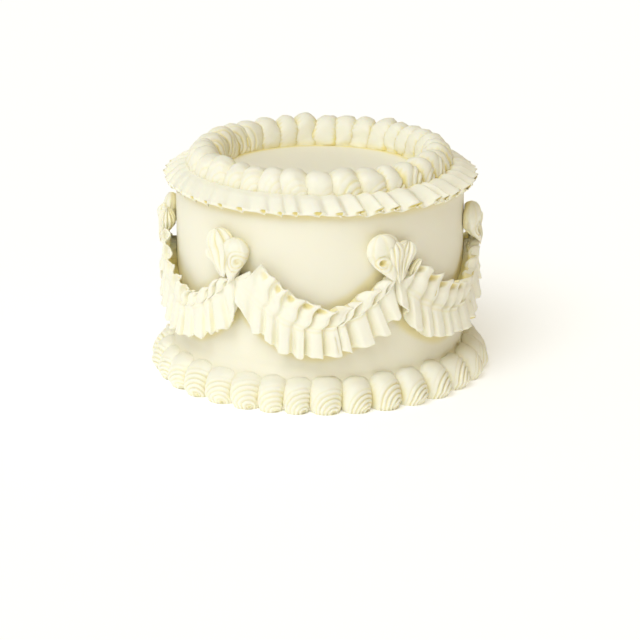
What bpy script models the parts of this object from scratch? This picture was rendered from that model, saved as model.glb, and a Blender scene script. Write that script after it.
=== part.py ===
# Round cream cake, iced smooth and piped: two shell borders, a pleated top edge, six swags and fleurs.
# Metres, +Z up, front towards -Y, origin at the middle of the underside.
import math
import random

import bmesh
import bpy
from mathutils import Matrix, Vector

# Iced body
BODY_RADIUS = 0.0865
BODY_HEIGHT = 0.121
BODY_SEGMENTS = 64
BODY_EDGE_ROUND = 0.002
BODY_EDGE_STEPS = 2
# Clearance left between pieces that touch on the real cake
GAP = 0.0003

# Base border of rounded shells lying against the wall
BASE_SHELLS = 32
BASE_STEPS = 5
# Where the front shells meet, in degrees; the other joints follow by rule
BASE_FRONT_EDGES = (-22.0, -13.0, -3.6, 7.6, 18.9, 29.7, 40.9, 52.5, 65.4)
BASE_SPREAD = 0.08
BASE_SEED = 11
BASE_CREASE_OUT = 0.66
BASE_CREASE_UP = 0.80
BASE_UNEVEN = 0.04
# Distance out from the wall and height, from the foot of the wall round to the front foot
BASE_PROFILE = (
    (0.0000, 0.0000),
    (0.0000, 0.0195),
    (0.0038, 0.0214),
    (0.0106, 0.0192),
    (0.0154, 0.0122),
    (0.0172, 0.0048),
    (0.0144, 0.0000),
)

# Top border of upright shells around the recess
TOP_SHELLS = 34
TOP_STEPS = 4
TOP_FIRST_EDGE = -5.0
TOP_SPREAD = 0.12
TOP_SEED = 23
TOP_RADIUS = 0.0695
TOP_CREASE = 0.78
TOP_FOOT_CREASE = 0.95
TOP_UNEVEN = 0.05
# Distance out from the ring's middle radius and height above the cake, inner foot to outer foot
TOP_PROFILE = (
    (-0.0088, 0.0000),
    (-0.0100, 0.0060),
    (-0.0072, 0.0144),
    (0.0005, 0.0186),
    (0.0066, 0.0150),
    (0.0098, 0.0070),
    (0.0105, 0.0000),
)

# Pleated ruffle folded over the top edge
RUFFLE_PLEATS = 42
RUFFLE_STEPS = 4
RUFFLE_SLANT = 4.0
RUFFLE_UNEVEN = 0.0004
# Radius and height, from the inner foot over the edge to the hem and back underneath
RUFFLE_PROFILE = (
    (0.0803, 0.1210),
    (0.0812, 0.1262),
    (0.0868, 0.1258),
    (0.0917, 0.1210),
    (0.0926, 0.1142),
    (0.0900, 0.1138),
    (0.0874, 0.1172),
    (0.0870, 0.1210),
)
# How far each point moves out, up and round with a pleat
RUFFLE_OUT = (0.0, 0.0, 0.0006, 0.0012, 0.0016, 0.0014, 0.0, 0.0)
RUFFLE_UP = (0.0, 0.0004, 0.0010, 0.0008, -0.0006, -0.0004, 0.0, 0.0)
RUFFLE_TURN = (0.0, 0.0, 0.45, 0.85, 1.0, 1.0, 0.5, 0.0)
# Height of one pleat at its four steps, steep on one side as piped folds are
PLEAT_WAVE = (1.0, 0.35, -1.0, -0.25)

# Swags: double pleated bands hung between six peaks, angles in degrees
SWAGS = 6
PEAK_START = 28.0
SWAG_PLEATS = 11
SWAG_STEPS = 4
SWAG_END = 0.35
SWAG_LOW = 0.0495
SWAG_RISE = 0.0270
SWAG_POWER = 1.8
SWAG_UP = 0.0120
SWAG_DOWN = 0.0155
SWAG_WIDEN_UP = 0.0040
SWAG_WIDEN_DOWN = 0.0045
SWAG_LEAN = 5.2
SWAG_LEAN_LIMIT = 1.6
SWAG_UP_TAPER = 8.0
SWAG_UP_END = 0.10
SWAG_DOWN_TAPER = 5.0
SWAG_DOWN_END = 0.70
SWAG_UNEVEN = 0.0009
# Each row: share of the upper or lower width, stand-off from the wall, pleat depth, share of the lean
SWAG_PROFILE = (
    (0.42, 0.0000, 0.0000, 0.0),
    (0.94, 0.0045, 0.0016, 1.0),
    (1.00, 0.0066, 0.0020, 1.0),
    (0.50, 0.0088, 0.0020, 0.5),
    (0.00, 0.0082, 0.0008, 0.0),
    (-0.45, 0.0094, 0.0022, 0.0),
    (-1.00, 0.0094, 0.0030, 0.15),
    (-0.97, 0.0066, 0.0030, 0.15),
    (-0.35, 0.0000, 0.0000, 0.0),
)

# Fleurs: three rounded strokes fanned out over each peak
FLEUR_OFFSET = 0.0040
FLEUR_FLAT = 0.58
FLEUR_SEGMENTS = 8
FLEUR_RINGS = 5
FLEUR_UNEVEN = 0.06
# Each row: foot (across, height), end (across, height), half width at the fat end
FLEUR_STROKES = (
    (0.0005, 0.0815, -0.0096, 0.0970, 0.0122),
    (0.0000, 0.0820, -0.0012, 0.0995, 0.0070),
    (0.0008, 0.0815, 0.0066, 0.0960, 0.0078),
)
FLEUR_OVERRUN = 0.0080
FLEUR_NARROW = 0.35

# Colours in linear RGB: pale ivory buttercream
ICING = (0.84, 0.80, 0.64, 1.0)
PIPING = (0.90, 0.87, 0.74, 1.0)
ICING_ROUGHNESS = 0.50
PIPING_ROUGHNESS = 0.45

# Spacing of the loose profile points before they are put in place
POINT_SPACING = 0.1
FIRST_POINT = 1.0
FULL_TURN = 360.0
TINY = 1e-6
SEED = 7


def make_material(name, colour, roughness):
    material = bpy.data.materials.new(name)
    material.use_nodes = True
    shader = material.node_tree.nodes["Principled BSDF"]
    shader.inputs["Base Color"].default_value = colour
    shader.inputs["Roughness"].default_value = roughness
    shader.inputs["Metallic"].default_value = 0.0
    return material


def finish_object(name, bm, colour, roughness):
    bmesh.ops.recalc_face_normals(bm, faces=bm.faces)
    if bm.calc_volume(signed=True) < 0:
        bmesh.ops.reverse_faces(bm, faces=bm.faces)
    mesh = bpy.data.meshes.new(name)
    bm.to_mesh(mesh)
    bm.free()
    mesh.shade_smooth()
    obj = bpy.data.objects.new(name, mesh)
    obj.data.materials.append(make_material(name + "_icing", colour, roughness))
    return obj


def place(angle, radius, height):
    # Degrees from the front (-Y) towards +X
    turn = math.radians(angle)
    return Vector((radius * math.sin(turn), -radius * math.cos(turn), height))


def sweep_profile(points, steps, start, sweep):
    # A closed loop of points spun about Z, each at its own radius so that its number can be told later
    bm = bmesh.new()
    loop = []
    for number in range(points):
        along = number * POINT_SPACING
        loop.append(bm.verts.new(place(start, FIRST_POINT + along, along ** 2)))
    edges = [bm.edges.new((loop[i], loop[(i + 1) % points])) for i in range(points)]
    full = abs(sweep - FULL_TURN) < TINY
    bmesh.ops.spin(bm, geom=loop + edges, axis=(0, 0, 1), cent=(0, 0, 0), angle=math.radians(sweep),
                   steps=steps, use_merge=full, use_duplicate=False)
    if not full:
        bmesh.ops.holes_fill(bm, edges=bm.edges, sides=points)
    return bm


def swept_points(bm, start, step):
    # Yields each vertex with its step along the sweep and its number in the profile
    for vert in bm.verts:
        number = round((math.hypot(vert.co.x, vert.co.y) - FIRST_POINT) / POINT_SPACING)
        angle = math.degrees(math.atan2(vert.co.x, -vert.co.y)) - start
        yield vert, round(angle / step), number


def uneven_edges(rng, first, count, sweep, spread):
    # Angles of the joints between shells, not quite evenly spaced
    widths = [1.0 + rng.uniform(-spread, spread) for _ in range(count)]
    total = sum(widths)
    edges = [first]
    for width in widths:
        edges.append(edges[-1] + width / total * sweep)
    return edges


def shell_angle(edges, index, steps):
    # Angle of a step along the border, with the same share of steps to each shell
    shell = index // steps
    share = (index % steps) / steps
    return edges[shell] + (edges[shell + 1] - edges[shell]) * share


def dome(index, steps):
    # Rounded rise and fall across one shell: 0 in the crease, 1 on the crest
    across = 2.0 * (index % steps) / steps - 1.0
    return math.sqrt(max(0.0, 1.0 - across * across))


def make_body():
    bm = bmesh.new()
    bmesh.ops.create_cone(bm, cap_ends=True, segments=BODY_SEGMENTS, radius1=BODY_RADIUS,
                          radius2=BODY_RADIUS, depth=BODY_HEIGHT,
                          matrix=Matrix.Translation((0, 0, BODY_HEIGHT / 2)))
    rim = [e for e in bm.edges if min(v.co.z for v in e.verts) > BODY_HEIGHT - TINY]
    bmesh.ops.bevel(bm, geom=rim, offset=BODY_EDGE_ROUND, segments=BODY_EDGE_STEPS, profile=0.5,
                    affect="EDGES", material=-1)
    return finish_object("cake_body", bm, ICING, ICING_ROUGHNESS)


def make_base_border(rng):
    count = BASE_SHELLS * BASE_STEPS
    size = [1.0 - BASE_UNEVEN * rng.random() for _ in range(BASE_SHELLS)]
    front = list(BASE_FRONT_EDGES)
    rest = BASE_SHELLS - len(front) + 1
    sweep = FULL_TURN - (front[-1] - front[0])
    edges = front[:-1] + uneven_edges(random.Random(BASE_SEED), front[-1], rest, sweep, BASE_SPREAD)
    bm = sweep_profile(len(BASE_PROFILE), count, 0.0, FULL_TURN)
    for vert, index, number in list(swept_points(bm, 0.0, FULL_TURN / count)):
        index %= count
        out, up = BASE_PROFILE[number]
        rise = dome(index, BASE_STEPS)
        shell = size[index // BASE_STEPS]
        out *= (BASE_CREASE_OUT + (1.0 - BASE_CREASE_OUT) * rise) * shell
        up *= (BASE_CREASE_UP + (1.0 - BASE_CREASE_UP) * rise) * shell
        vert.co = place(shell_angle(edges, index, BASE_STEPS), BODY_RADIUS + GAP + out, up)
    return finish_object("base_shell_border", bm, PIPING, PIPING_ROUGHNESS)


def make_top_border(rng):
    count = TOP_SHELLS * TOP_STEPS
    size = [1.0 - TOP_UNEVEN * rng.random() for _ in range(TOP_SHELLS)]
    edges = uneven_edges(random.Random(TOP_SEED), TOP_FIRST_EDGE, TOP_SHELLS, FULL_TURN, TOP_SPREAD)
    bm = sweep_profile(len(TOP_PROFILE), count, 0.0, FULL_TURN)
    for vert, index, number in list(swept_points(bm, 0.0, FULL_TURN / count)):
        index %= count
        out, up = TOP_PROFILE[number]
        crease = TOP_CREASE if up > 0 else TOP_FOOT_CREASE
        factor = crease + (1.0 - crease) * dome(index, TOP_STEPS)
        if up > 0:
            factor *= size[index // TOP_STEPS]
        angle = shell_angle(edges, index, TOP_STEPS)
        vert.co = place(angle, TOP_RADIUS + out * factor, BODY_HEIGHT + GAP + up * factor)
    return finish_object("top_shell_border", bm, PIPING, PIPING_ROUGHNESS)


def make_ruffle(rng):
    count = RUFFLE_PLEATS * RUFFLE_STEPS
    step = FULL_TURN / count
    lift = [rng.uniform(-RUFFLE_UNEVEN, RUFFLE_UNEVEN) for _ in range(RUFFLE_PLEATS)]
    bm = sweep_profile(len(RUFFLE_PROFILE), count, 0.0, FULL_TURN)
    for vert, index, number in list(swept_points(bm, 0.0, step)):
        index %= count
        radius, height = RUFFLE_PROFILE[number]
        wave = PLEAT_WAVE[index % RUFFLE_STEPS]
        uneven = lift[index // RUFFLE_STEPS] * RUFFLE_TURN[number]
        radius += RUFFLE_OUT[number] * wave
        height += RUFFLE_UP[number] * wave + uneven + GAP
        angle = index * step + RUFFLE_TURN[number] * RUFFLE_SLANT
        vert.co = place(angle, radius, height)
    return finish_object("top_ruffle", bm, PIPING, PIPING_ROUGHNESS)


def swag_seam(across):
    # Height of the seam, with across running from -1 at one peak to 1 at the next
    return SWAG_LOW + SWAG_RISE * abs(across) ** SWAG_POWER


def taper(distance, length, end):
    return end + (1.0 - end) * min(1.0, distance / length)


def make_swag(number, rng):
    first = PEAK_START + (number - 2) * FULL_TURN / SWAGS + SWAG_END
    sweep = FULL_TURN / SWAGS - 2.0 * SWAG_END
    last = first + sweep
    middle = first + sweep / 2
    count = SWAG_PLEATS * SWAG_STEPS
    step = sweep / count
    drop = [rng.uniform(-SWAG_UNEVEN, SWAG_UNEVEN) for _ in range(SWAG_PLEATS + 1)]
    bm = sweep_profile(len(SWAG_PROFILE), count, 0.0, sweep)
    for vert, index, slot in list(swept_points(bm, 0.0, step)):
        share, stand_off, depth, lean = SWAG_PROFILE[slot]
        angle = first + index * step
        across = (angle - middle) / (sweep / 2)
        angle += lean * min(SWAG_LEAN, (last - angle) / SWAG_LEAN_LIMIT)
        edge = min(angle - first, last - angle)
        if share > 0:
            width = SWAG_UP + SWAG_WIDEN_UP * abs(across)
            width *= taper(edge, SWAG_UP_TAPER, SWAG_UP_END)
        else:
            width = SWAG_DOWN + SWAG_WIDEN_DOWN * abs(across)
            width *= taper(edge, SWAG_DOWN_TAPER, SWAG_DOWN_END)
        wave = PLEAT_WAVE[index % SWAG_STEPS]
        height = swag_seam(across) + share * width + share * drop[index // SWAG_STEPS]
        vert.co = place(angle, BODY_RADIUS + GAP + stand_off + depth * wave, height)
    return finish_object("swag_%d" % number, bm, PIPING, PIPING_ROUGHNESS)


def make_stroke(stroke, peak, rng):
    # An egg-shaped stroke, narrow at its foot, bent round the wall
    foot_x, foot_z, end_x, end_z, half = stroke
    half *= 1.0 - FLEUR_UNEVEN * rng.random()
    run = Vector((end_x - foot_x, 0.0, end_z - foot_z))
    length = run.length + FLEUR_OVERRUN
    tilt = math.atan2(run.x, run.z)
    bm = bmesh.new()
    bmesh.ops.create_uvsphere(bm, u_segments=FLEUR_SEGMENTS, v_segments=FLEUR_RINGS, radius=1.0)
    for vert in bm.verts:
        x, y, z = vert.co
        along = (z + 1.0) / 2.0
        width = half * (FLEUR_NARROW + (1.0 - FLEUR_NARROW) * along)
        local = Vector((x * width, y * width * FLEUR_FLAT, along * length))
        local.rotate(Matrix.Rotation(tilt, 3, "Y"))
        radius = BODY_RADIUS + FLEUR_OFFSET - local.y
        angle = peak + math.degrees((foot_x + local.x) / BODY_RADIUS)
        vert.co = place(angle, max(radius, BODY_RADIUS + GAP), foot_z + local.z)
    return bm


def make_fleur(number, rng):
    # The first stroke is joined to the others by one union on their collection
    peak = PEAK_START + (number - 1) * FULL_TURN / SWAGS
    strokes = [make_stroke(row, peak, rng) for row in FLEUR_STROKES]
    fleur = finish_object("peak_fleur_%d" % number, strokes[0], PIPING, PIPING_ROUGHNESS)
    scene = bpy.context.scene.collection
    scene.objects.link(fleur)
    group = bpy.data.collections.new("fleur_strokes")
    group.hide_render = True
    scene.children.link(group)
    for bm in strokes[1:]:
        other = finish_object("fleur_stroke", bm, PIPING, PIPING_ROUGHNESS)
        other.display_type = "WIRE"
        group.objects.link(other)
    union = fleur.modifiers.new("join strokes", "BOOLEAN")
    union.operation = "UNION"
    union.operand_type = "COLLECTION"
    union.collection = group
    union.solver = "EXACT"
    joined = fleur.evaluated_get(bpy.context.evaluated_depsgraph_get())
    mesh = bpy.data.meshes.new_from_object(joined)
    fleur.modifiers.clear()
    fleur.data = mesh
    for other in list(group.objects):
        bpy.data.objects.remove(other, do_unlink=True)
    bpy.data.collections.remove(group)
    scene.objects.unlink(fleur)
    return fleur


def build():
    for obj in list(bpy.data.objects):
        bpy.data.objects.remove(obj, do_unlink=True)
    rng = random.Random(SEED)
    cake = bpy.data.collections.new("cream_cake")
    bpy.context.scene.collection.children.link(cake)
    parts = [make_body(), make_base_border(rng), make_top_border(rng), make_ruffle(rng)]
    for number in range(1, SWAGS + 1):
        parts.append(make_swag(number, rng))
    for number in range(1, SWAGS + 1):
        parts.append(make_fleur(number, rng))
    for obj in parts:
        cake.objects.link(obj)


build()
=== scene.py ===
import math
import random

import bmesh
import bpy
from mathutils import Matrix, Vector, noise


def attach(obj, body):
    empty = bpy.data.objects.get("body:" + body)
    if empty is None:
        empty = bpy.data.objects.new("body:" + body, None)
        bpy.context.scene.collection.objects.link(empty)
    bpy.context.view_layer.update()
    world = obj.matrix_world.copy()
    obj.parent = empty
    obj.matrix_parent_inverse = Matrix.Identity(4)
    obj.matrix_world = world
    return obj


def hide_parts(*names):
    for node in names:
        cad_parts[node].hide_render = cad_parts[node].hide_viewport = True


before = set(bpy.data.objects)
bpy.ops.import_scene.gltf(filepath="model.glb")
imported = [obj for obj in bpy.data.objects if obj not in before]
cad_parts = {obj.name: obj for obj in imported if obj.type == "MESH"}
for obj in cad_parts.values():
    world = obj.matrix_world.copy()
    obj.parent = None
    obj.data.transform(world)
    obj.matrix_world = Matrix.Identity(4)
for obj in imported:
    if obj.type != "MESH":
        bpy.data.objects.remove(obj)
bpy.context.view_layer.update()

fullTurn = 360.0
mm = 0.001
pointStep = 0.1  # how far apart the points of a spun loop start


# small helpers

def around(angle, radius, height):  # degrees from the front (-Y) towards +X
    turn = math.radians(angle)
    return Vector((radius * math.sin(turn), -radius * math.cos(turn), height))


def blendStep(low, high, value):
    t = min(1.0, max(0.0, (value - low) / (high - low)))
    return t * t * (3.0 - 2.0 * t)


def mix(a, b, t):
    return a + (b - a) * t


def along(table, value):  # straight lines between the rows of a short table, first column rising
    for low, high in zip(table, table[1:]):
        if value <= high[0]:
            t = max(0.0, (value - low[0]) / (high[0] - low[0]))
            return [mix(a, b, t) for a, b in zip(low[1:], high[1:])]
    return list(table[-1][1:])


def curveAlong(table, value):  # the same with a soft bend at each row
    span = 0.06
    near = [along(table, value + step * span) for step in (-1, -0.5, 0, 0.5, 1)]
    return [sum(column) / len(column) for column in zip(*near)]


def wander(x, y, z):  # smooth unevenness, about -1 to 1
    return 1.6 * noise.noise(Vector((x, y, z)))


def wrapped(angle):  # the same angle between -180 and 180 degrees
    return (angle + fullTurn / 2) % fullTurn - fullTurn / 2


def calmSide(angle):  # 1 at the left of the front, where the piping is soft and gets less painted shade as the key light falls there, falling to 0 elsewhere
    turn = wrapped(angle)
    return blendStep(-100.0, -75.0, turn) * blendStep(16.0, -10.0, turn)


def crispSide(angle):  # 1 at the right, where the nozzle left sharp ridges and the shells keep painted shade on their outer seams
    turn = wrapped(angle)
    return blendStep(20.0, 42.0, turn) * blendStep(125.0, 95.0, turn)


def unevenEdges(rng, first, count, sweep, spread):  # joints between shells, not quite evenly spaced
    widths = [1.0 + rng.uniform(-spread, spread) for _ in range(count)]
    total = sum(widths)
    edges = [first]
    for width in widths:
        edges.append(edges[-1] + width / total * sweep)
    return edges


def spinLoop(count, copies, steps, sweep):
    # a loop of points is spun through one pleat, which is then copied round and welded;
    # each point keeps its own radius, so its number can be told later
    bm = bmesh.new()
    loop = [bm.verts.new(around(0.0, 1.0 + pointStep * i, (pointStep * i) ** 2)) for i in range(count)]
    ring = [bm.edges.new((loop[i], loop[(i + 1) % count])) for i in range(count)]
    share = math.radians(sweep / copies)
    bmesh.ops.spin(bm, geom=loop + ring, axis=(0, 0, 1), cent=(0, 0, 0), angle=share, steps=steps,
                   use_merge=False, use_duplicate=False)
    pleat = list(bm.verts) + list(bm.edges) + list(bm.faces)
    for number in range(1, copies):
        copy = bmesh.ops.duplicate(bm, geom=pleat)["geom"]
        moved = [part for part in copy if isinstance(part, bmesh.types.BMVert)]
        bmesh.ops.rotate(bm, verts=moved, cent=(0, 0, 0), matrix=Matrix.Rotation(share * number, 3, "Z"))
    bmesh.ops.remove_doubles(bm, verts=bm.verts, dist=1e-4)
    if sweep < fullTurn - 0.001:
        bmesh.ops.holes_fill(bm, edges=bm.edges, sides=count)
    return bm


def spunPoints(bm, steps, sweep):  # each point with its step round the sweep and its number in the loop
    stops = steps if sweep > fullTurn - 1.0 else steps + 1
    points = []
    for vert in bm.verts:
        number = round((math.hypot(vert.co.x, vert.co.y) - 1.0) / pointStep)
        angle = math.degrees(math.atan2(vert.co.x, -vert.co.y)) % fullTurn
        points.append((vert, round(angle / sweep * steps) % stops, number))
    return points


def finishPiece(name, bm, material):
    bmesh.ops.recalc_face_normals(bm, faces=bm.faces)
    if bm.calc_volume(signed=True) < 0:
        bmesh.ops.reverse_faces(bm, faces=bm.faces)
    mesh = bpy.data.meshes.new(name)
    bm.to_mesh(mesh)
    bm.free()
    mesh.shade_smooth()
    piece = bpy.data.objects.new(name, mesh)
    bpy.context.scene.collection.objects.link(piece)
    mesh.materials.append(material)
    print("modelled", name, len(mesh.polygons), "faces")
    return piece


def joinInto(target, source):  # copies one bmesh into another
    scratch = bpy.data.meshes.new("scratch")
    source.to_mesh(scratch)
    source.free()
    target.from_mesh(scratch)
    bpy.data.meshes.remove(scratch)


# cream material, with a painted shade colour mixed in where pieces lie in shade

creamLook = {
    "cream": (0.966, 0.944, 0.800, 1.0),
    # the crease colour is painted shade: the yellow of cream lying in shade in creases, hollows and under
    # piping
    "crease": (0.88, 0.76, 0.28, 1.0),
    "icing": (0.930, 0.898, 0.752, 1.0),
    "scatterRadius": (0.5, 0.6, 1.0), "scatterScale": 2.5 * mm, "scatterWeight": 0.3,
    "bumpStrength": 0.6, "shineSwing": 0.25,
}


def addNoise(group, place, scale, detail):  # a noise on object coordinates
    texture = group.nodes.new("ShaderNodeTexNoise")
    texture.inputs["Detail"].default_value = detail
    group.links.new(place.outputs["Object"], texture.inputs["Vector"])
    group.links.new(scale, texture.inputs["Scale"])
    return texture.outputs["Fac"]


def addMath(group, operation, *values, clamp=False):  # each value is a number or a socket
    node = group.nodes.new("ShaderNodeMath")
    node.operation = operation
    node.use_clamp = clamp
    for socket, value in zip(node.inputs, values):
        if isinstance(value, bpy.types.NodeSocket):
            group.links.new(value, socket)
        else:
            socket.default_value = value
    return node.outputs[0]


def creamGroup():
    group = bpy.data.node_groups.new("whipped cream surface", "ShaderNodeTree")
    sockets = group.interface
    for name, kind, value in (("Cream", "NodeSocketColor", creamLook["cream"]),
                              ("Painted Shade", "NodeSocketColor", creamLook["crease"]),
                              ("Painted Shade Amount", "NodeSocketFloat", 1.0),
                              ("Mottle Scale", "NodeSocketFloat", 45.0),
                              ("Mottle Amount", "NodeSocketFloat", 0.05),
                              ("Grain Scale", "NodeSocketFloat", 900.0),
                              ("Grain Amount", "NodeSocketFloat", 0.3),
                              ("Drag Scale", "NodeSocketFloat", 160.0),
                              ("Roughness", "NodeSocketFloat", 0.5)):
        socket = sockets.new_socket(name, in_out="INPUT", socket_type=kind)
        socket.default_value = value
    sockets.new_socket("Color", in_out="OUTPUT", socket_type="NodeSocketColor")
    sockets.new_socket("Roughness", in_out="OUTPUT", socket_type="NodeSocketFloat")
    sockets.new_socket("Height", in_out="OUTPUT", socket_type="NodeSocketFloat")
    nodes, links = group.nodes, group.links
    inside = nodes.new("NodeGroupInput")
    outside = nodes.new("NodeGroupOutput")
    place = nodes.new("ShaderNodeTexCoord")
    mottle = addNoise(group, place, inside.outputs["Mottle Scale"], 3.0)
    grain = addNoise(group, place, inside.outputs["Grain Scale"], 2.0)
    drag = addNoise(group, place, inside.outputs["Drag Scale"], 2.0)  # marks of the knife and the nozzle
    # painted shade: a per-point attribute mixes the cream towards the yellow shade colour where the piece
    # lies in shade
    crease = nodes.new("ShaderNodeAttribute")
    crease.attribute_name = "crease"
    depth = addMath(group, "MULTIPLY", crease.outputs["Fac"], inside.outputs["Painted Shade Amount"], clamp=True)
    centred = addMath(group, "SUBTRACT", mottle, 0.5)
    swing = addMath(group, "MULTIPLY_ADD", centred, inside.outputs["Mottle Amount"], 1.0)
    tone = nodes.new("ShaderNodeVectorMath")
    tone.operation = "SCALE"
    links.new(inside.outputs["Cream"], tone.inputs[0])
    links.new(swing, tone.inputs["Scale"])
    paint = nodes.new("ShaderNodeMix")
    paint.data_type = "RGBA"
    links.new(depth, paint.inputs["Factor"])
    links.new(tone.outputs[0], paint.inputs["A"])
    links.new(inside.outputs["Painted Shade"], paint.inputs["B"])
    links.new(paint.outputs["Result"], outside.inputs["Color"])
    shine = addMath(group, "MULTIPLY_ADD", centred, creamLook["shineSwing"], inside.outputs["Roughness"])
    links.new(shine, outside.inputs["Roughness"])
    fine = addMath(group, "MULTIPLY", grain, inside.outputs["Grain Amount"])
    links.new(addMath(group, "ADD", fine, drag), outside.inputs["Height"])
    return group


creamSurface = creamGroup()


def creamMaterial(name, values, bumpDistance, specular):
    material = bpy.data.materials.new(name)
    material.use_nodes = True
    nodes, links = material.node_tree.nodes, material.node_tree.links
    shader = nodes["Principled BSDF"]
    surface = nodes.new("ShaderNodeGroup")
    surface.node_tree = creamSurface
    for key, value in values.items():
        surface.inputs[key].default_value = value
    bump = nodes.new("ShaderNodeBump")
    bump.inputs["Distance"].default_value = bumpDistance
    bump.inputs["Strength"].default_value = creamLook["bumpStrength"]
    links.new(surface.outputs["Height"], bump.inputs["Height"])
    links.new(surface.outputs["Color"], shader.inputs["Base Color"])
    links.new(surface.outputs["Roughness"], shader.inputs["Roughness"])
    links.new(bump.outputs["Normal"], shader.inputs["Normal"])
    shader.inputs["Subsurface Weight"].default_value = creamLook["scatterWeight"]
    shader.inputs["Subsurface Radius"].default_value = creamLook["scatterRadius"]
    shader.inputs["Subsurface Scale"].default_value = creamLook["scatterScale"]
    shader.inputs["Specular IOR Level"].default_value = specular
    return material


creamKinds = {  # values for the group, among them how much painted shade each piece takes, how far the bump reaches, and the specular level
    "smoothIcing": ({"Cream": creamLook["icing"], "Mottle Scale": 18.0, "Mottle Amount": 0.04,
                     "Drag Scale": 60.0, "Grain Amount": 0.12, "Roughness": 0.52}, 0.4 * mm, 0.35),
    "shellCream": ({"Mottle Scale": 70.0, "Painted Shade Amount": 0.9, "Roughness": 0.46}, 0.3 * mm, 0.4),
    "ruffleCream": ({"Mottle Scale": 60.0, "Painted Shade Amount": 1.0, "Roughness": 0.47}, 0.3 * mm, 0.4),
    "swagCream": ({"Mottle Scale": 60.0, "Painted Shade Amount": 0.9, "Roughness": 0.47}, 0.3 * mm, 0.4),
    "fleurCream": ({"Mottle Scale": 80.0, "Painted Shade Amount": 0.9, "Roughness": 0.45}, 0.3 * mm, 0.4),
}
creams = {name: creamMaterial(name, *values) for name, values in creamKinds.items()}
print("materials ready")


# the line that the swags hang in, also used for the painted shade on the icing beside them

hangLook = {
    "swags": 6, "peakStart": 28.0, "low": 49.5 * mm, "rise": 27.0 * mm, "power": 1.8,
    "up": 12.0 * mm, "down": 15.5 * mm, "widenUp": 4.0 * mm, "widenDown": 4.5 * mm,
}


def hang(angle):  # height of the seam, and how far the swag reaches above and below it
    look = hangLook
    pitch = fullTurn / look["swags"]
    across = abs(((angle - look["peakStart"]) % pitch) / pitch * 2.0 - 1.0)
    seam = look["low"] + look["rise"] * across ** look["power"]
    return seam, look["up"] + look["widenUp"] * across, look["down"] + look["widenDown"] * across


# iced body

bodyLook = {
    "radius": 86.4 * mm, "height": 120.9 * mm, "edge": 2.2 * mm, "turns": 240, "rows": 110,
    "floorRings": 30, "edgeSteps": 6, "sway": 0.28 * mm, "floorSway": 0.12 * mm,
    "waveAcross": 16.0, "waveUp": 34.0, "fineAcross": 40.0, "fineUp": 90.0, "fineShare": 0.4,
    "floorScale": 45.0,
    "baseTop": 19.0 * mm, "baseFade": 3.0 * mm, "hemHeight": 115.0 * mm, "hemFade": 5.0 * mm,
    "ringInside": 60.0 * mm, "ringFade": 5.0 * mm, "swagFade": 4.5 * mm,
    "cove": 4.0 * mm, "coveTop": 21.5 * mm, "coveLow": 15.0 * mm, "calmCove": 4.5 * mm, "calmTop": 6.0 * mm,
    # painted shade on the icing: above the base shells, under the hem, inside the top ring, and under and
    # over the swags; the painted shadow under the swags drops lower because the key light comes from above,
    # and there is less over the swags on the lit left
    "shadeDrop": 3.2 * mm, "overShare": 0.8,
    "lowTint": 0.1, "hemTint": 0.7, "ringTint": 0.9, "underTint": 0.55, "overTint": 0.45, "calmTint": 0.5,
}


def bodyPaintedShade(angle, radius, height):  # painted shade: the icing is made yellower where piping stands over it and shades it
    look = bodyLook
    if radius < look["radius"] - look["edge"]:
        return look["ringTint"] * blendStep(look["ringInside"] - look["ringFade"], look["ringInside"], radius)
    low = blendStep(look["baseTop"] + look["baseFade"], look["baseTop"] - 1.0 * mm, height)
    high = blendStep(look["hemHeight"] - look["hemFade"], look["hemHeight"] + 2.0 * mm, height)
    seam, up, down = hang(angle)
    over = height - seam - up * look["overShare"]
    under = seam - down - look["shadeDrop"] - height
    beside = blendStep(look["swagFade"], 0.0, max(over, under))
    if under > over:
        side = look["underTint"]
    else:
        side = look["overTint"] * (1.0 - look["calmTint"] * calmSide(angle))
    return max(look["lowTint"] * low, look["hemTint"] * high, side * beside)


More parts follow.
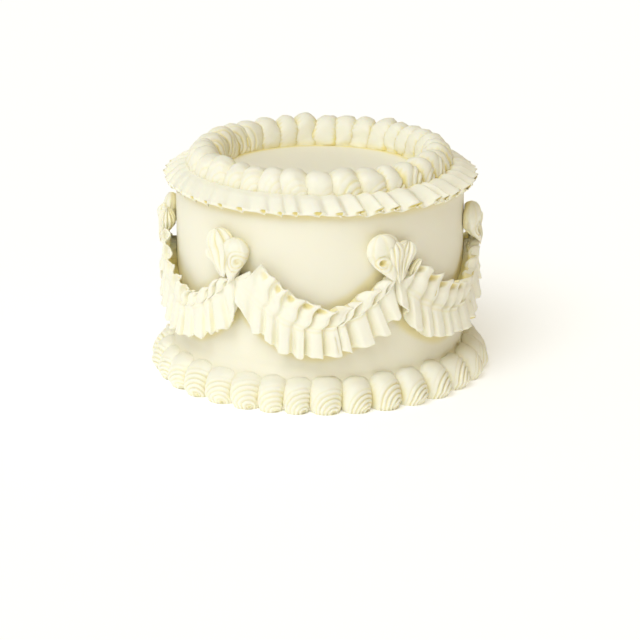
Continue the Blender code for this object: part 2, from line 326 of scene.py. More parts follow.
def modelBody():
    look = bodyLook
    bm = bmesh.new()
    line = [bm.verts.new((0, 0, 0)), bm.verts.new((0, -look["radius"], 0))]
    for i in range(1, look["rows"] + 1):
        line.append(bm.verts.new((0, -look["radius"], i / look["rows"] * (look["height"] - look["edge"]))))
    for i in range(1, look["edgeSteps"] + 1):
        turn = math.radians(90.0 * i / look["edgeSteps"])
        inward = look["edge"] * (1.0 - math.cos(turn))
        down = look["edge"] * (1.0 - math.sin(turn))
        line.append(bm.verts.new((0, -(look["radius"] - inward), look["height"] - down)))
    for i in range(1, look["floorRings"] + 1):
        radius = (look["radius"] - look["edge"]) * (1.0 - i / look["floorRings"])
        line.append(bm.verts.new((0, -radius, look["height"])))
    edges = [bm.edges.new(pair) for pair in zip(line, line[1:])]
    bmesh.ops.spin(bm, geom=line + edges, axis=(0, 0, 1), cent=(0, 0, 0), angle=math.radians(fullTurn),
                   steps=look["turns"], use_merge=True, use_duplicate=False)
    bmesh.ops.remove_doubles(bm, verts=bm.verts, dist=1e-6)
    crease = bm.verts.layers.float.new("crease")
    for vert in bm.verts:
        x, y, z = vert.co
        radius = math.hypot(x, y)
        angle = math.degrees(math.atan2(x, -y))
        # painted shade on the icing where piping shades it
        vert[crease] = bodyPaintedShade(angle, radius, z)
        if radius > look["radius"] - look["edge"] and z > 0.0:  # knife marks, long round the wall
            wide, fine = look["waveAcross"], look["fineAcross"]
            wave = wander(x * wide, y * wide, z * look["waveUp"])
            wave += look["fineShare"] * wander(x * fine, y * fine, z * look["fineUp"])
            calm = calmSide(angle)
            coveTop = look["coveTop"] + look["calmTop"] * calm
            climbed = (max(z, look["coveLow"]) - look["coveLow"]) / (coveTop - look["coveLow"])
            # the icing is smoothed down to the shells
            push = (look["cove"] + look["calmCove"] * calm) * max(0.0, 1.0 - climbed) ** 2
            scale = 1.0 + (push - look["sway"] * (0.5 + 0.35 * wave)) / look["radius"]
            vert.co = Vector((x * scale, y * scale, z))
        elif z > 0.0:
            scale = look["floorScale"]
            vert.co.z -= look["floorSway"] * (0.5 + 0.5 * wander(x * scale, y * scale, 0.3))
    piece = finishPiece("cakeBodyIced", bm, creams["smoothIcing"])
    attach(piece, "root")
    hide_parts("cake_body")


modelBody()


# piped shells: each is a round-cornered lump whose end curls in ridges round one low corner

shellLook = {  # shared by both borders
    "reachSway": (0.9, 1.1), "phase": (-0.1, 0.3), "depthSway": (0.75, 1.15), "fade": (0.8, 1.08),
    # the pit tint is painted shade in the hollow where the ridges curl
    "pitReach": 0.17, "swayScale": 1.3, "dentScale": 4.1, "sideTuck": 0.6, "pitTint": 0.9,
}


def modelShell(look, centre, middleRadius, foot, halfWidth, size, rng):
    common = shellLook
    swayScale, dentScale = common["swayScale"], common["dentScale"]
    bm = bmesh.new()
    bmesh.ops.create_uvsphere(bm, u_segments=look["round"], v_segments=look["rows"], radius=1.0)
    crease = bm.verts.layers.float.new("crease")
    calm, crisp = calmSide(centre), crispSide(centre)
    curl = Vector(look["curl"])
    inner = look["innerCurls"]
    if inner and inner[0] < wrapped(centre) < inner[1]:
        curl = Vector(look["innerCurl"])
    curl += Vector((0.0, rng.uniform(-1, 1), rng.uniform(-1, 1))) * look["curlSway"]
    turn = Vector((0, 0, 1)).rotation_difference(curl.normalized()).to_matrix()
    ridgedRows = look["ridgedRows"]
    reach = look["ridgeReach"] * rng.uniform(*common["reachSway"])
    phase = rng.uniform(*common["phase"])
    lean = look["lean"] + rng.uniform(-1.0, 1.0) * look["leanSway"]
    seed = rng.uniform(0.0, 50.0)
    depth = look["ridgeDepth"] * rng.uniform(*common["depthSway"])
    depth *= (1.0 - look["calmRidges"] * calm) * (1.0 + look["crispRidges"] * crisp)
    merge = mix(look["merge"], look["calmMerge"], calm)
    # less painted shade on the calm left, where the key light falls
    tintShare = 1.0 - look["calmTint"] * calm
    for vert in bm.verts:
        polar = math.acos(max(-1.0, min(1.0, vert.co.z)))
        row = polar / math.pi * look["rows"]
        spread = math.hypot(vert.co.x, vert.co.y)
        if row <= ridgedRows:
            polar = row / ridgedRows * look["ridgedAngle"]
        else:
            polar = mix(look["ridgedAngle"], math.pi, (row - ridgedRows) / (look["rows"] - ridgedRows))
        flat = math.sin(polar) / spread if spread > 1e-9 else 0.0
        way = turn @ Vector((vert.co.x * flat, vert.co.y * flat, math.cos(polar)))
        outward = look["out"] if way.x > 0 else look["back"]
        fullness, boxy = look["fullness"], look["boxy"]
        side = (abs(way.x / outward) ** fullness + abs(way.z / look["up"]) ** fullness) ** (boxy / fullness)
        reachOut = size * (side + abs(way.y / halfWidth) ** boxy) ** (-1.0 / boxy)
        ripple = polar / reach * look["ridges"] + phase
        fade = 1.0 - blendStep(common["fade"][0] * reach, common["fade"][1] * reach, polar)
        valley = 1.0 - abs(math.sin(math.pi * ripple))
        pit = 1.0 - blendStep(0.0, common["pitReach"], polar)
        reachOut -= depth * fade * valley ** 1.5 + look["pit"] * pit
        reachOut += look["sway"] * wander(way.x * swayScale + seed, way.y * swayScale, way.z * swayScale)
        reachOut += look["dents"] * wander(way.x * dentScale, way.y * dentScale + seed, way.z * dentScale)
        point = way * reachOut
        tuck = 1.0 - blendStep(0.0, look["tuckHeight"], point.z)
        if point.x > 0.0:
            point.x *= 1.0 - look["tuck"] * tuck
        point.y *= 1.0 - common["sideTuck"] * look["tuck"] * tuck
        rise = min(1.0, max(0.0, point.z / look["up"]))
        point.y = point.y * (1.0 + look["footSpread"] * (1.0 - rise) + merge * rise ** 2) + lean * rise
        if look["back"] < 1.0 * mm:
            point.x = max(point.x, look["back"])
        point.z = max(point.z, 0.0)
        radius = middleRadius + point.x
        vert.co = around(centre + math.degrees(point.y / radius), radius, foot + point.z)
        # painted shade: yellow in the seams between shells, in the ridge valleys, at the foot and in the pit;
        # on outer seams it is kept only at the crisp right
        beside = abs(point.y - lean * rise) / halfWidth * look["overlap"]
        outer = blendStep(-0.3, 0.4, way.x)
        seam = blendStep(look["seamStart"], 1.0, beside) * (1.0 - look["outerFade"] * outer * (1.0 - crisp))
        seam *= 1.0 - look["topFade"] * blendStep(0.4, 0.9, rise)
        low = 1.0 - blendStep(0.0, 0.22, rise)
        footTint = look["footTint"] * low * (0.4 + 0.6 * seam) * (1.0 - look["outerFade"] * outer)
        ridgeTint = look["ridgeTint"] * fade * valley ** 2 * tintShare
        seamTint = look["seamTint"] * seam * tintShare
        vert[crease] = max(ridgeTint, seamTint, footTint, common["pitTint"] * pit * tintShare)
    return bm


baseLook = {
    "shells": 32, "frontEdges": (-22.0, -13.0, -3.6, 7.6, 18.9, 29.7, 40.9, 52.5, 65.4),
    "radius": 86.6 * mm, "out": 17.2 * mm, "back": 0.2 * mm, "up": 20.6 * mm, "fullness": 2.15,
    "boxy": 2.6, "overlap": 1.14, "round": 36, "rows": 56, "ridgedRows": 42, "ridgedAngle": 1.16,
    "ridges": 6, "ridgeReach": 1.0, "ridgeDepth": 1.5 * mm, "pit": 1.5 * mm, "curl": (0.90, 0.36, 0.08),
    "curlSway": 0.08, "innerCurls": None, "lean": 0.0, "leanSway": 0.9 * mm, "footSpread": 0.0,
    "merge": 0.28, "calmMerge": 0.80, "sway": 0.35 * mm, "dents": 0.15 * mm,
    # the seam, foot and ridge tints are painted shade
    "tuck": 0.2, "tuckHeight": 5.5 * mm, "uneven": 0.05, "spread": 0.08, "seamStart": 0.84, "seamTint": 0.5,
    "footTint": 0.5, "ridgeTint": 0.85, "outerFade": 0.0, "topFade": 0.7, "calmRidges": 0.2,
    "crispRidges": 0.25, "calmTint": 0.35,
}


def modelBaseBorder():
    look = baseLook
    rng = random.Random(11)
    front = list(look["frontEdges"])
    rest = look["shells"] - (len(front) - 1)
    edges = front[:-1] + unevenEdges(rng, front[-1], rest, fullTurn - (front[-1] - front[0]), look["spread"])
    border = bmesh.new()
    for left, right in zip(edges, edges[1:]):
        middle = (left + right) / 2
        halfWidth = math.radians(right - left) / 2 * (look["radius"] + 8 * mm) * look["overlap"]
        size = 1.0 - look["uneven"] * rng.random()
        joinInto(border, modelShell(look, middle, look["radius"], 0.0, halfWidth, size, rng))
    piece = finishPiece("baseShells", border, creams["shellCream"])
    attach(piece, "root")
    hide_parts("base_shell_border")


modelBaseBorder()


topLook = {
    "shells": 34, "firstEdge": -5.0, "radius": 69.6 * mm, "foot": 120.8 * mm, "out": 10.6 * mm,
    "back": 10.2 * mm, "up": 18.2 * mm, "fullness": 2.4, "boxy": 2.5, "overlap": 1.34, "round": 40,
    "rows": 46, "ridgedRows": 30, "ridgedAngle": 1.15, "ridges": 4, "ridgeReach": 1.0,
    "ridgeDepth": 0.8 * mm, "pit": 1.2 * mm, "curl": (0.74, 0.60, 0.10), "curlSway": 0.28,
    "innerCurls": (-145.0, -96.0), "innerCurl": (-0.55, 0.75, 0.40),
    "lean": -2.2 * mm, "leanSway": 1.1 * mm, "footSpread": 0.5, "merge": 0.12, "calmMerge": 0.2,
    "sway": 1.0 * mm, "dents": 0.5 * mm, "tuck": 0.0, "tuckHeight": 3.0 * mm, "uneven": 0.08, "spread": 0.12,
    # the seam, foot and ridge tints are painted shade
    "seamStart": 0.84, "seamTint": 1.0, "footTint": 1.0, "ridgeTint": 0.8, "outerFade": 0.8, "topFade": 0.3,
    "calmRidges": 0.65, "crispRidges": 0.9, "calmTint": 0.6,
}


def modelTopBorder():
    look = topLook
    rng = random.Random(23)
    edges = unevenEdges(rng, look["firstEdge"], look["shells"], fullTurn, look["spread"])
    border = bmesh.new()
    for left, right in zip(edges, edges[1:]):
        halfWidth = math.radians(right - left) / 2 * look["radius"] * look["overlap"]
        size = 1.0 - look["uneven"] * rng.random()
        radius = look["radius"] + rng.uniform(-0.5, 0.5) * mm
        joinInto(border, modelShell(look, (left + right) / 2, radius, look["foot"], halfWidth, size, rng))
    piece = finishPiece("topShells", border, creams["shellCream"])
    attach(piece, "root")
    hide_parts("top_shell_border")


modelTopBorder()


# pleats: the sheet rises in a rounded tongue, leans over to the right and tucks back under itself

def fold(p, pitch, depth, overhang, dome):
    turn = 2.0 * math.pi * p
    third = 0.25 * dome
    wave = -math.cos(turn) - dome * math.cos(2.0 * turn) - third * math.cos(3.0 * turn)
    climb = math.sin(turn) + 2.0 * dome * math.sin(2.0 * turn) + 3.0 * third * math.sin(3.0 * turn)
    climb *= 2.0 * math.pi
    across = (p + overhang * wave) * pitch
    runs = (1.0 + overhang * climb) * pitch
    climbs = climb * depth
    length = math.hypot(runs, climbs)
    return across, wave * depth, -climbs / length, runs / length


ruffleLook = {
    "pleats": 48, "steps": 26, "slant": 3.6, "front": 24, "under": 8, "root": 0.72,
    "line": ((0.0, 77.0, 125.0), (0.14, 80.3, 126.2), (0.4, 84.8, 124.9), (0.7, 88.8, 121.6),
             (0.88, 90.7, 119.8), (1.0, 92.0, 118.8)),
    "depth": ((0.0, 0.2), (0.4, 1.1), (0.75, 1.8), (1.0, 2.3)),
    "overhang": ((0.0, 0.0), (0.4, 0.05), (0.75, 0.07), (1.0, 0.08)),
    "dome": 0.06, "unevenDepth": 0.3, "unevenPlace": 0.3, "unevenHem": 0.6 * mm, "calm": 0.6, "crisp": 0.45,
    "thick": 1.5 * mm, "filled": 3.5 * mm, "round": 1.0 * mm, "nose": 1.5 * mm,
    "endRows": (0.03, 0.08, 0.15, 0.22, 0.29, 0.36, 0.43, 0.50, 0.57, 0.64, 0.70, 0.76, 0.83, 0.90, 0.96),
    "openingPlace": 0.46, "openingUp": 0.26, "openingWidth": 3.0 * mm, "openingDepth": 1.5 * mm,
    "lipPlace": 0.66, "lipWidth": 0.07, "lipDepth": 1.0 * mm,
    # the hidden, root and lip tints are painted shade
    "hiddenTint": 0.65, "rootTint": 0.8, "lipTint": 0.6,
    "feet": ((86.7, 117.6), (84.5, 120.9), (80.2, 120.9)),
}


def modelRuffle():
    look = ruffleLook
    section = [(i / (look["front"] - 1), 0.0) for i in range(look["front"])]
    section += [(1.0, row) for row in look["endRows"]]
    section += [(mix(1.0, look["root"], i / (look["under"] - 1)), 1.0) for i in range(look["under"])]
    feet = [Vector((r * mm, z * mm)) for r, z in look["feet"]]
    shape = {}
    for share in set(row[0] for row in section):
        spot = Vector(curveAlong(look["line"], share)) * mm
        ahead = Vector(curveAlong(look["line"], share + 0.03))
        run = (ahead - Vector(curveAlong(look["line"], share - 0.03))).normalized()
        shape[share] = (spot, run, along(look["depth"], share)[0] * mm, along(look["overhang"], share)[0])
    steps = look["pleats"] * look["steps"]
    pitch = fullTurn / look["pleats"]
    bm = spinLoop(len(section) + len(feet), look["pleats"], look["steps"], fullTurn)
    crease = bm.verts.layers.float.new("crease")
    rng = random.Random(31)
    openings = [(look["openingPlace"] + rng.uniform(-0.06, 0.06), rng.uniform(0.65, 1.0))
                for _ in range(look["pleats"])]
    columns = []  # what stays the same from root to hem
    for index in range(steps):
        ringX, ringY = [5.0 * way(2.0 * math.pi * index / steps) for way in (math.cos, math.sin)]
        calm = calmSide(index / steps * fullTurn)
        crisp = crispSide(index / steps * fullTurn + 20.0)
        deeper = 1.0 + look["unevenDepth"] * wander(ringX, ringY, 3.0)
        deeper *= (1.0 - look["calm"] * calm) * (1.0 + look["crisp"] * crisp)
        leaning = 1.0 + 0.3 * wander(ringX, ringY, 8.0)
        hem = look["unevenHem"] * wander(ringX * 1.4, ringY * 1.4, 5.0)
        place = look["unevenPlace"] * wander(ringX * 0.8, ringY * 0.8, 12.0)
        columns.append((calm, deeper, leaning, hem, place))
    for vert, index, number in spunPoints(bm, steps, fullTurn):
        pleat = index // look["steps"]
        p = (index % look["steps"]) / look["steps"]
        if number >= len(section):
            spot = feet[number - len(section)]
            vert.co = around((pleat + p) * pitch, spot.x, spot.y)
            # the feet sit in full painted shade under the ruffle
            vert[crease] = 1.0
            continue
        share, layer = section[number]
        calm, deeper, leaning, hem, place = columns[index]
        (radius, height), run, depth, overhang = shape[share]
        out = Vector((-run.y, run.x))
        lengthPitch = math.radians(pitch) * radius
        across, rise, tiltAcross, tiltUp = fold(p, lengthPitch, depth * deeper, overhang * leaning,
                                                look["dome"])
        crest = 0.5 - 0.5 * math.cos(2.0 * math.pi * p)
        thick = look["thick"] + look["filled"] * share ** 2 * crest
        push = share ** 3 * (hem + look["nose"] * (1.0 - 0.6 * calm) * crest)
        opening = 0.0
        if share == 1.0 and 0.0 < layer < 1.0:
            push += look["round"] * math.sqrt(1.0 - (2.0 * layer - 1.0) ** 2)
            middle, strength = openings[pleat]
            size = look["openingWidth"] * (0.6 + 0.4 * strength) * (1.0 - 0.4 * calm)
            beside = (p - middle) * lengthPitch / size
            above = (layer - look["openingUp"]) * thick / size
            opening = strength * blendStep(1.2, 0.6, math.hypot(beside, above))
            lip = math.exp(-((layer - look["lipPlace"]) / look["lipWidth"]) ** 2)
            lip *= 0.6 + 0.4 * math.sin(2 * math.pi * p)
            push -= look["openingDepth"] * opening + look["lipDepth"] * lip
            # the dent of each opening and the lip are filled with painted shade
            opening = max(min(1.0, opening * 1.4), look["lipTint"] * lip)
        lift = rise - thick * layer * tiltUp
        spotRadius = radius + out.x * lift + run.x * push
        spotHeight = height + out.y * lift + run.y * push
        angle = (pleat + place) * pitch + math.degrees(across / radius) + share * look["slant"]
        angle -= math.degrees(thick * layer * tiltAcross / radius)
        vert.co = around(angle, spotRadius, spotHeight)
        # painted shade on the sides of the pleats that face away, under the hem and at the root; less on the
        # lit left
        hidden = blendStep(0.2, 1.1, 1.0 - tiltUp)
        below = blendStep(0.85, 1.0, layer) * blendStep(1.0, 0.85, share)
        beside = look["hiddenTint"] * hidden * (0.3 + 0.7 * share) * (1.0 - 0.6 * calm)
        root = look["rootTint"] * blendStep(0.17, 0.05, share) * (1.0 - 0.7 * calm)
        vert[crease] = max(below, opening, beside, root)
    piece = finishPiece("topRuffle", bm, creams["ruffleCream"])
    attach(piece, "root")
    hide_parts("top_ruffle")


modelRuffle()


# swags: a double ruffle hung from peak to peak

swagLook = {
    "end": 0.08, "pleats": 11, "steps": 22, "wall": 86.55 * mm,
    "lean": 5.6, "leanKept": 2.4, "leanEase": 9.0, "curve": 0.8, "fan": 0.35, "lap": 1.7,
    "upStart": (5.0, 0.35), "upStop": (15.0, 0.5), "downStart": (9.0, 0.5), "downStop": (4.0, 0.8),
    "root": 0.30, "face": 28, "under": 8,
    "stand": ((-1.0, 9.0), (-0.6, 8.2), (-0.25, 7.2), (0.0, 6.9), (0.25, 7.4), (0.6, 8.0), (1.0, 7.6)),
    "depth": ((-1.0, 2.5), (-0.5, 2.2), (-0.08, 1.1), (0.08, 1.1), (0.5, 2.0), (1.0, 2.3)),
    "overhang": ((-1.0, 0.20), (-0.4, 0.16), (0.0, 0.08), (0.4, 0.17), (1.0, 0.20)),
    "columns": 0.35, "columnsEnd": 0.62, "columnLean": 0.3, "thick": 1.9 * mm,
    "dome": ((-1.0, 0.5), (-0.3, 0.45), (0.0, 0.3), (0.3, 0.3), (1.0, 0.38)),
    "rim": 0.5 * mm, "rimWidth": 0.10, "bead": 1.0 * mm, "beadWidth": 0.045, "tooth": 0.75,
    # calmTint takes painted shade away on the lit left
    "calmShift": 13.0, "calmDepth": 0.35, "calmLean": 0.7, "calmTint": 0.6,
    "unevenPlace": 0.30, "unevenDepth": 0.40, "unevenEdge": 1.4 * mm, "unevenPleat": 1.1 * mm,
    "endStep": 0.12,
    "hole": (0.14, 0.92), "holeSize": (0.15, 0.10), "holeDepth": 1.6 * mm,
    # the tints are painted shade under the lower edge, on hidden sides, at the pinch of the seam and in the
    # holes, with less near the ends
    "belowTint": 0.8, "hiddenTint": 0.65, "pinchTint": 0.25, "holeTint": 0.8, "endTint": 0.2,
}


def endShare(distance, ease, kept):
    return kept + (1.0 - kept) * blendStep(0.0, ease, max(0.0, distance))


def swagSection(look):  # shares of the width and of the thickness, round the band from root to root
    root = look["root"]
    lower = [(mix(root + 0.05, 0.95, i / (look["under"] - 1)), 1.0) for i in range(look["under"])]
    rim = [(1.0, 0.86), (1.03, 0.64), (1.037, 0.45), (1.03, 0.26), (1.01, 0.1)]
    face = [(mix(0.98, -0.98, i / (look["face"] * 2 - 1)), 0.0) for i in range(look["face"] * 2)]
    half = [(root, 2.0)] + lower + rim
    return half + face + [(-share, layer) for share, layer in reversed(half)]


def swagColumn(look, index, first, sweep, seed, drops):  # what stays the same from edge to edge of the band
    pitch = sweep / look["pleats"]
    last = first + sweep
    pleat = min(index // look["steps"], look["pleats"] - 1)
    passed = index / look["steps"]  # pleats passed so far
    p = passed - pleat
    calm = min(1.0, passed, look["pleats"] - passed)
    plain = first + passed * pitch + look["unevenPlace"] * pitch * calm * wander(passed * 0.7, seed, 0.0)
    seam, up, down = hang(plain)
    calmHere = calmSide(plain + look["calmShift"])
    slope = (hang(plain + 1.0)[0] - hang(plain - 1.0)[0]) / 2.0 / (math.radians(1.0) * look["wall"])
    toStart, toLast = plain - first, last - plain
    # the cut ends step down from pleat to pleat
    level = pleat + 0.5
    if p < look["endStep"]:
        level = pleat + p / (2.0 * look["endStep"])
    elif p > 1.0 - look["endStep"]:
        level = pleat + 0.5 + (p - (1.0 - look["endStep"])) / (2.0 * look["endStep"])
    deeper = 1.0 + look["unevenDepth"] * wander(passed * 0.8, seed, 4.0)
    leaning = 1.0 + 0.4 * wander(passed * 0.6, seed, 9.0)
    return {
        "p": p, "calm": calm, "plain": plain, "seam": seam, "toLast": toLast,
        "share": passed / look["pleats"],
        "up": up * endShare(toStart, *look["upStart"]) * endShare(toLast, *look["upStop"]),
        "down": down * endShare(toStart, *look["downStart"]) * endShare(toLast, *look["downStop"]),
        "slope": slope, "stepped": hang(min(max(first + level * pitch, first), last))[0],
        "deeper": deeper * (1.0 - look["calmDepth"] * calmHere),
        "leaning": leaning * calm * (1.0 - look["calmLean"] * calmHere),
        "edgeUp": look["unevenEdge"] * wander(passed * 1.3, seed, 19.0) + drops[pleat][0],
        "edgeDown": look["unevenEdge"] * wander(passed * 1.3, seed, 14.0) + drops[pleat][1],
        # soft: less painted shade and a lower bead on the lit left, where the key light falls
        "soft": 1.0 - look["calmTint"] * calmHere,
        "column": blendStep(look["columnsEnd"], look["columns"], passed / look["pleats"]),
        "lap": look["lap"] * blendStep(look["pleats"] - 2.0, look["pleats"], passed),
        # painted shade fades towards the ends of the band
        "tint": mix(look["endTint"], 1.0, blendStep(0.3, 2.0, min(passed, look["pleats"] - passed))),
    }


def modelSwag(number):
    look = swagLook
    section = swagSection(look)
    wholePitch = fullTurn / hangLook["swags"]
    first = hangLook["peakStart"] + (number - 2) * wholePitch + look["end"]
    sweep = wholePitch - 2.0 * look["end"]
    steps = look["pleats"] * look["steps"]
    pitch = sweep / look["pleats"]
    rng = random.Random(80 + number)
    uneven = look["unevenPleat"]
    drops = [(rng.uniform(-uneven, uneven), rng.uniform(-uneven, uneven)) for _ in range(look["pleats"])]
    bm = spinLoop(len(section), look["pleats"], look["steps"], sweep)
    crease = bm.verts.layers.float.new("crease")
    shape = {}
    for share in set(row[0] for row in section):
        shape[share] = (curveAlong(look["stand"], share)[0] * mm, along(look["depth"], share)[0] * mm,
                        along(look["overhang"], share)[0], along(look["dome"], share)[0])
    columns = [swagColumn(look, index, first, sweep, 7.3 * number, drops) for index in range(steps + 1)]
    for vert, index, row in spunPoints(bm, steps, sweep):
        share, layer = section[row]
        column = columns[index]
        p, plain = column["p"], column["plain"]
        standOff, depth, overhang, dome = shape[share]
        overhang *= column["leaning"]
        if share > 0:
            eased = blendStep(0.0, look["leanEase"], column["toLast"])
            lean = mix(look["leanKept"], look["lean"], eased) * share
            lean += look["curve"] * column["calm"] * math.sin(2.0 * math.pi * share)
            width = column["up"] + column["edgeUp"] * share
        else:  # the lower left half falls in straight columns
            overhang *= 1.0 - (1.0 - look["columnLean"]) * column["column"] * min(1.0, -share * 4.0)
            width = column["down"] - column["edgeDown"] * share
            slope = max(0.0, column["slope"])
            lean = -share * math.degrees(look["fan"] * slope * width / look["wall"]) * column["calm"]
            lean -= share * column["lap"]
        lengthPitch = math.radians(pitch) * (look["wall"] + standOff)
        across, rise, tiltAcross, tiltUp = fold(p, lengthPitch, depth * column["deeper"], overhang, dome)
        angle = plain + math.degrees(across / (look["wall"] + standOff)) - p * pitch + lean
        height = mix(column["seam"], column["stepped"], look["tooth"] * abs(share)) + share * width
        if layer > 1.5:
            vert.co = around(plain, look["wall"], height)
            # the root against the wall lies in painted shade
            vert[crease] = column["tint"]
            continue
        thick = look["thick"] * layer * mix(1.2, 0.9, abs(share))
        beadWave = (0.6 + 0.4 * math.sin(2.0 * math.pi * (p - 0.1))) * blendStep(0.4, 0.6, column["share"])
        beadWave *= column["soft"] ** 2
        bead = look["bead"] * math.exp(-(share / look["beadWidth"]) ** 2) * beadWave * (1.0 - layer)
        bead += look["rim"] * math.exp(-((abs(share) - 1.0) / look["rimWidth"]) ** 2) * (1.0 - layer)
        hole = 0.0
        if layer < 0.5:
            holeAcross, holeUp = [(value - middle) / size for value, middle, size
                                  in zip((p, share), look["hole"], look["holeSize"])]
            spot = math.hypot(holeAcross, holeUp)
            hole = blendStep(1.2, 0.5, spot) * blendStep(0.6, 0.45, column["share"]) * column["calm"]
        radius = look["wall"] + standOff + rise - thick * tiltUp + bead - look["holeDepth"] * hole
        radius = max(radius, look["wall"] + 0.2 * mm)
        angle -= math.degrees(thick * tiltAcross / radius)
        vert.co = around(max(angle, first), radius, height)
        # painted shade under the lower edge, on sides facing away, at the pinch of the seam and in the holes
        hidden = blendStep(0.3, 1.2, 1.0 - tiltUp)
        pinch = math.exp(-((abs(share) - 0.08) / 0.04) ** 2)
        below = layer * (look["belowTint"] if share < 0 else blendStep(1.0, 0.85, share))
        beside = column["soft"] * max(look["hiddenTint"] * hidden, look["pinchTint"] * pinch)
        vert[crease] = column["tint"] * max(below, beside, look["holeTint"] * hole)
    piece = finishPiece("swagPleats%d" % number, bm, creams["swagCream"])
    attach(piece, "root")
    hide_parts("swag_%d" % number)


for number in range(1, hangLook["swags"] + 1):
    modelSwag(number)


# fleurs where the swags meet: a curled bulb, a grooved middle stroke and a ridged fan,
# or on two of them a leaf, petals and a swirl

strokeLooks = {
    "bulb": {"foot": (-2.6, 76.6), "head": (-6.6, 93.6), "size": 10.2 * mm, "flat": 0.58, "out": 4.0 * mm,
             "ridges": 7, "depth": 0.05, "twist": 0.5, "teeth": 0.0, "curl": (-2.2, -6.0), "rings": 3.0,
             "hole": 1.0},
    "middle": {"foot": (0.4, 74.6), "head": (-0.8, 94.0), "size": 5.2 * mm, "flat": 0.95, "out": 6.6 * mm,
               "ridges": 9, "depth": 0.14, "twist": 0.12, "teeth": 0.6, "curl": None},
    "fan": {"foot": (1.4, 76.2), "head": (6.6, 92.2), "size": 6.6 * mm, "flat": 0.75, "out": 4.8 * mm,
            "ridges": 12, "depth": 0.20, "twist": -0.1, "teeth": 2.4, "curl": None},
    "petals": {"foot": (-4.2, 77.0), "head": (-11.4, 94.5), "size": 9.4 * mm, "flat": 0.60, "out": 4.0 * mm,
               "ridges": 8, "depth": 0.15, "twist": 0.1, "teeth": 2.6, "curl": None},
    "leaf": {"foot": (-5.0, 77.0), "head": (-14.6, 88.0), "size": 6.6 * mm, "flat": 0.60, "out": 3.4 * mm,
             "ridges": 7, "depth": 0.16, "twist": -0.1, "teeth": 2.2, "curl": None},
    "swirl": {"foot": (-1.0, 75.2), "head": (0.0, 92.4), "size": 8.2 * mm, "flat": 0.66, "out": 5.0 * mm,
              "ridges": 6, "depth": 0.02, "twist": 0.3, "teeth": 0.0, "curl": (3.4, -5.0), "rings": 3.6,
              "hole": 0.4},
}
fleurLook = {
    "round": 72, "rows": 56, "wall": 86.7 * mm, "footStand": 10.0 * mm, "neck": 0.16,
    "ringStep": 2.5 * mm, "ringDepth": 1.25 * mm, "ringFade": 0.55, "holeDepth": 3.0 * mm,
    "sway": 0.8 * mm, "headSway": 0.8, "sizeSway": (0.94, 1.04), "twistSway": 0.08,
    "grooveTint": 0.85, "coilTint": 0.8, "hiddenTint": 0.5,
# the tints are painted shade in the grooves, the coil and its hole, and on the back half against the wall
}


def modelStroke(stroke, peak, rng):
    look = fleurLook
    foot = Vector(stroke["foot"]) * mm
    headSway, twistSway = look["headSway"], look["twistSway"]
    head = Vector([value + rng.uniform(-headSway, headSway) for value in stroke["head"]]) * mm
    size = stroke["size"] * rng.uniform(*look["sizeSway"])
    run = (head - foot).length
    way = (head - foot) / run
    side = Vector((way.y, -way.x))
    whole = run + size
    widest = run / whole
    twist = stroke["twist"] + rng.uniform(-twistSway, twistSway)
    seed = rng.uniform(0.0, 50.0)
    bm = bmesh.new()
    bmesh.ops.create_uvsphere(bm, u_segments=look["round"], v_segments=look["rows"], radius=1.0)
    crease = bm.verts.layers.float.new("crease")
    for vert in bm.verts:
        x, y, z = vert.co
        share = (z + 1.0) / 2.0
        spoke = math.atan2(y, x)
        if share > widest:
            width = math.sqrt(max(0.0, 1.0 - ((share - widest) / (1.0 - widest)) ** 2))
        else:
            swell = math.sin(0.5 * math.pi * share / widest) ** 1.2
            width = min(1.0, mix(swell, math.sqrt(max(0.0, share)), look["neck"]))
        valley = 1.0 - abs(math.sin(spoke * stroke["ridges"] / 2.0 + twist * math.pi * share))
        fade = blendStep(0.05, 0.3, share)
        pull = size * width * (1.0 - stroke["depth"] * 1.7 * valley ** 1.4 * fade)
        acrossHere = math.cos(spoke) * pull
        outHere = math.sin(spoke) * pull * stroke["flat"]
        alongHere = share * whole - stroke["teeth"] * mm * valley * blendStep(0.55, 0.95, share)
        # painted shade in the groove valleys
        tint = look["grooveTint"] * valley ** 2.5 * fade * min(1.0, stroke["depth"] * 8.0)
        if stroke["curl"] and math.sin(spoke) > 0.0:
            spot = foot + way * alongHere + side * acrossHere - head
            centre = Vector(stroke["curl"]) * mm
            distance = (spot - centre).length
            turn = math.atan2(spot.y - centre.y, spot.x - centre.x) / (2.0 * math.pi)
            coil = 1.0 - abs(math.sin(math.pi * (distance / look["ringStep"] + turn)))
            ringReach = stroke["rings"] * look["ringStep"]
            near = blendStep(ringReach, look["ringFade"] * ringReach, distance)
            hole = stroke["hole"] * blendStep(2.3 * mm, 1.0 * mm, distance)
            outHere -= math.sin(spoke) * (look["ringDepth"] * coil ** 1.5 * near + look["holeDepth"] * hole)
            # painted shade in the coil groove and its hole
            tint = max(tint, look["coilTint"] * coil ** 2 * near, hole)
        outHere += look["sway"] * wander(share * 2.5 + seed, math.cos(spoke), math.sin(spoke)) * fade
        spot = foot + way * alongHere + side * acrossHere
        standing = mix(look["footStand"], stroke["out"], blendStep(0.0, 0.6, share))
        radius = max(look["wall"] + standing + outHere, look["wall"])
        vert.co = around(peak + math.degrees(spot.x / look["wall"]), radius, spot.y)
        # painted shade on the back half, which faces the wall
        vert[crease] = max(tint, look["hiddenTint"] * blendStep(0.1, -0.5, math.sin(spoke)))
    return bm


fleurKinds = {3: ("leaf", "petals", "swirl"), 6: ("leaf", "petals", "swirl")}  # all others as in otherKind
otherKind = ("bulb", "fan", "middle")


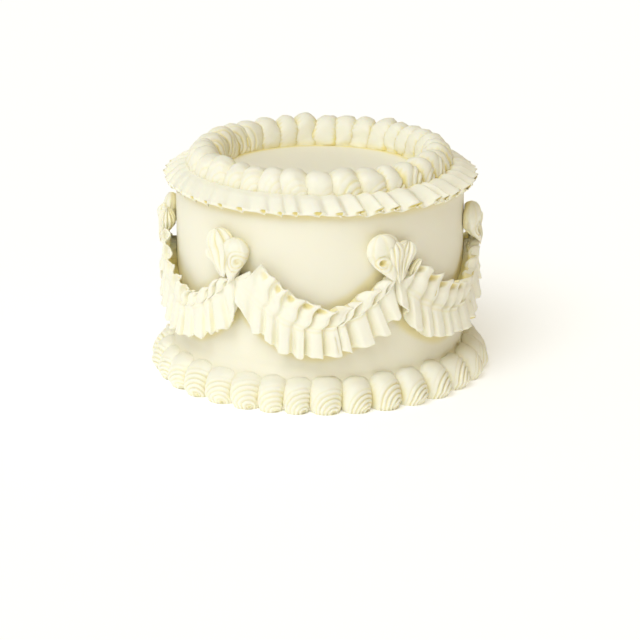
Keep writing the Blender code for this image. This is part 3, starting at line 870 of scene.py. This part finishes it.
def modelFleur(number):
    peak = hangLook["peakStart"] + (number - 1) * fullTurn / hangLook["swags"]
    rng = random.Random(60 + number)
    fleur = bmesh.new()
    for name in fleurKinds.get(number, otherKind):
        joinInto(fleur, modelStroke(strokeLooks[name], peak, rng))
    piece = finishPiece("peakFleur%d" % number, fleur, creams["fleurCream"])
    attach(piece, "root")
    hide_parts("peak_fleur_%d" % number)


for number in range(1, hangLook["swags"] + 1):
    modelFleur(number)


# floor, camera and light

studioLook = {
    "floor": (0.955, 0.965, 0.985, 1.0), "floorGlow": 0.28, "floorRoughness": 0.9, "floorSpecular": 0.1,
    "floorSize": 12.0,
    "cameraBack": 1.5584, "cameraHeight": 0.5201, "cameraPitch": 17.587, "lens": 151.0, "sensor": 36.0,
    "keyTurn": -24.0, "keyHeight": 50.0, "keySoftness": 40.0, "keyPower": 1.48,
    "keyColour": (0.84, 0.89, 0.98),
    "fillTurn": 85.0, "fillHeight": 22.0, "fillSoftness": 70.0, "fillPower": 0.05,
    "fillColour": (1.0, 0.84, 0.45),
    "worldLeft": (0.62, 0.59, 0.49, 1.0), "worldRight": (0.20, 0.12, 0.01, 1.0), "worldBend": -0.2,
}


def setStudio():
    look = studioLook
    bm = bmesh.new()
    bmesh.ops.create_grid(bm, x_segments=1, y_segments=1, size=look["floorSize"] / 2)
    mesh = bpy.data.meshes.new("floor")
    bm.to_mesh(mesh)
    bm.free()
    floor = bpy.data.objects.new("floor", mesh)
    bpy.context.scene.collection.objects.link(floor)
    paper = bpy.data.materials.new("whitePaper")
    paper.use_nodes = True
    shader = paper.node_tree.nodes["Principled BSDF"]
    shader.inputs["Base Color"].default_value = look["floor"]
    shader.inputs["Roughness"].default_value = look["floorRoughness"]
    shader.inputs["Specular IOR Level"].default_value = look["floorSpecular"]
    shader.inputs["Emission Color"].default_value = (1.0, 1.0, 1.0, 1.0)
    shader.inputs["Emission Strength"].default_value = look["floorGlow"]
    mesh.materials.append(paper)

    camera = bpy.data.objects.new("camera", bpy.data.cameras.new("camera"))
    camera.data.sensor_width = look["sensor"]
    camera.data.lens = look["lens"]
    camera.location = (0.0, -look["cameraBack"], look["cameraHeight"])
    camera.rotation_euler = (math.radians(90.0 - look["cameraPitch"]), 0.0, 0.0)
    bpy.context.scene.collection.objects.link(camera)
    bpy.context.scene.camera = camera

    for name in ("key", "fill"):
        data = bpy.data.lights.new(name, "SUN")
        data.energy = look[name + "Power"]
        data.angle = math.radians(look[name + "Softness"])
        data.color = look[name + "Colour"]
        lamp = bpy.data.objects.new(name, data)
        height = math.radians(look[name + "Height"])
        aim = around(look[name + "Turn"], math.cos(height), math.sin(height))
        lamp.rotation_euler = (-aim).to_track_quat("-Z", "Y").to_euler()
        bpy.context.scene.collection.objects.link(lamp)

    world = bpy.data.worlds.new("studio")
    bpy.context.scene.world = world
    world.use_nodes = True
    nodes, links = world.node_tree.nodes, world.node_tree.links
    place = nodes.new("ShaderNodeTexCoord")
    split = nodes.new("ShaderNodeSeparateXYZ")
    share = nodes.new("ShaderNodeMapRange")
    share.inputs["From Min"].default_value = look["worldBend"]
    blend = nodes.new("ShaderNodeMix")  # bright on the left, dim and warm on the right
    blend.data_type = "RGBA"
    blend.inputs["A"].default_value = look["worldLeft"]
    blend.inputs["B"].default_value = look["worldRight"]
    links.new(place.outputs["Generated"], split.inputs[0])
    links.new(split.outputs["X"], share.inputs["Value"])
    links.new(share.outputs["Result"], blend.inputs["Factor"])
    links.new(blend.outputs["Result"], nodes["Background"].inputs["Color"])
    bpy.context.scene.view_settings.view_transform = "Standard"


setStudio()
print("studio ready")
